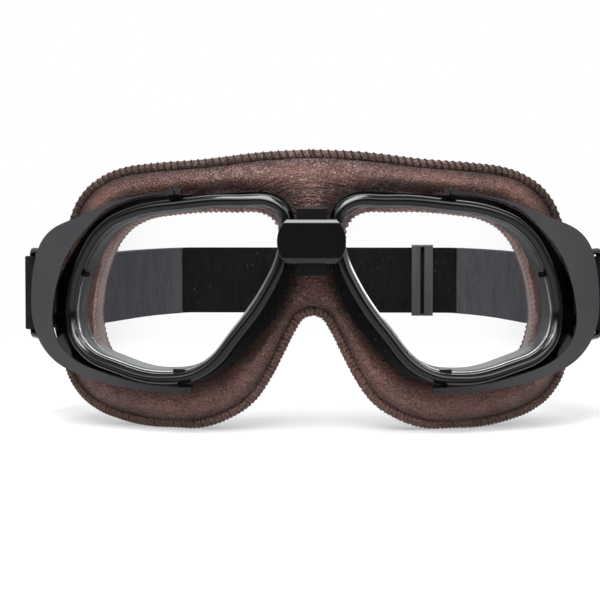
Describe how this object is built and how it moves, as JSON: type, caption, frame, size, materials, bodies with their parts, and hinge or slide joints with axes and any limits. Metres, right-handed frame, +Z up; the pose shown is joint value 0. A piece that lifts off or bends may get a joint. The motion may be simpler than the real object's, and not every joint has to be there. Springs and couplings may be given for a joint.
{
  "type": "aviator flying goggles",
  "caption": "Flying goggles with two hinged eye frames and wrap lenses on one padded leather mask, side plates, strap rings and an elastic head strap with an adjuster.",
  "frame": {"origin": "middle of the goggles' footprint, on the surface that the cheek pads stand on", "axes": "+X to the viewer's right across both lenses, +Y back towards the head strap, +Z up"},
  "size_m": [0.2096, 0.1548, 0.0968],
  "materials": {
    "gloss_black_metal": "gloss black",
    "satin_black_metal": "satin dark grey",
    "steel": "dark",
    "ring_wire": "gloss black",
    "clear_lens": "clear",
    "gasket_rubber": "matt",
    "black_plastic": "semi-gloss black",
    "brown_leather": "grained",
    "foam": "open-cell foam",
    "lining_fabric": "brushed",
    "suede_lining": "suede",
    "strap_webbing": "ribbed elastic"
  },
  "bodies": {
    "bridge": {"bridge_cover": "gloss_black_metal", "bridge_block": "gloss_black_metal", "bridge_cover_screws": "steel", "left_hinge_pin": "steel", "right_hinge_pin": "steel", "face_pad_cover": "brown_leather", "face_pad_front_foam": "foam", "face_pad_binding": "brown_leather", "face_pad_middle_foam": "foam", "face_pad_rear_foam": "foam", "face_pad_lining": "lining_fabric", "left_eye_lining": "suede_lining", "right_eye_lining": "suede_lining", "back_strap": "strap_webbing", "left_strap_end": "strap_webbing", "right_strap_end": "strap_webbing"},
    "left_frame": {"left_rim": "gloss_black_metal", "left_lens": "clear_lens", "left_lens_gasket": "gasket_rubber", "left_rear_frame": "black_plastic", "left_lens_clips": "black_plastic", "left_side_plate": "satin_black_metal", "left_side_plate_screws": "steel"},
    "left_ring": {"left_strap_ring": "ring_wire"},
    "right_frame": {"right_rim": "gloss_black_metal", "right_lens": "clear_lens", "right_lens_gasket": "gasket_rubber", "right_rear_frame": "black_plastic", "right_lens_clips": "black_plastic", "right_side_plate": "satin_black_metal", "right_side_plate_screws": "steel"},
    "right_ring": {"right_strap_ring": "ring_wire"},
    "slider": {"strap_slider": "black_plastic"}
  },
  "joints": [
    {"name": "left_fold", "type": "hinge", "parent": "bridge", "child": "left_frame", "pos_m": [-0.003, -0.06603, 0.0659], "axis": [0, 0, -1], "range_deg": [0, 20], "deforming": ["face_pad_cover", "face_pad_front_foam", "face_pad_binding", "face_pad_middle_foam", "face_pad_rear_foam", "face_pad_lining", "left_eye_lining", "right_eye_lining", "back_strap", "left_strap_end", "right_strap_end"]},
    {"name": "right_fold", "type": "hinge", "parent": "bridge", "child": "right_frame", "pos_m": [0.003, -0.06603, 0.0659], "axis": [0, 0, 1], "range_deg": [0, 20], "deforming": ["face_pad_cover", "face_pad_front_foam", "face_pad_binding", "face_pad_middle_foam", "face_pad_rear_foam", "face_pad_lining", "left_eye_lining", "right_eye_lining", "back_strap", "left_strap_end", "right_strap_end"]},
    {"name": "left_ring_swing", "type": "hinge", "parent": "left_frame", "child": "left_ring", "pos_m": [-0.0965, -0.03068, 0.0456], "axis": [0, 0, -1], "range_deg": [-12, 25], "deforming": ["left_strap_end"]},
    {"name": "right_ring_swing", "type": "hinge", "parent": "right_frame", "child": "right_ring", "pos_m": [0.0965, -0.03068, 0.0456], "axis": [0, 0, 1], "range_deg": [-12, 25], "deforming": ["right_strap_end"]},
    {"name": "slider_slide", "type": "slide", "parent": "bridge", "child": "slider", "axis": [1, 0, 0], "range_m": [-0.035, 0]}
  ]
}
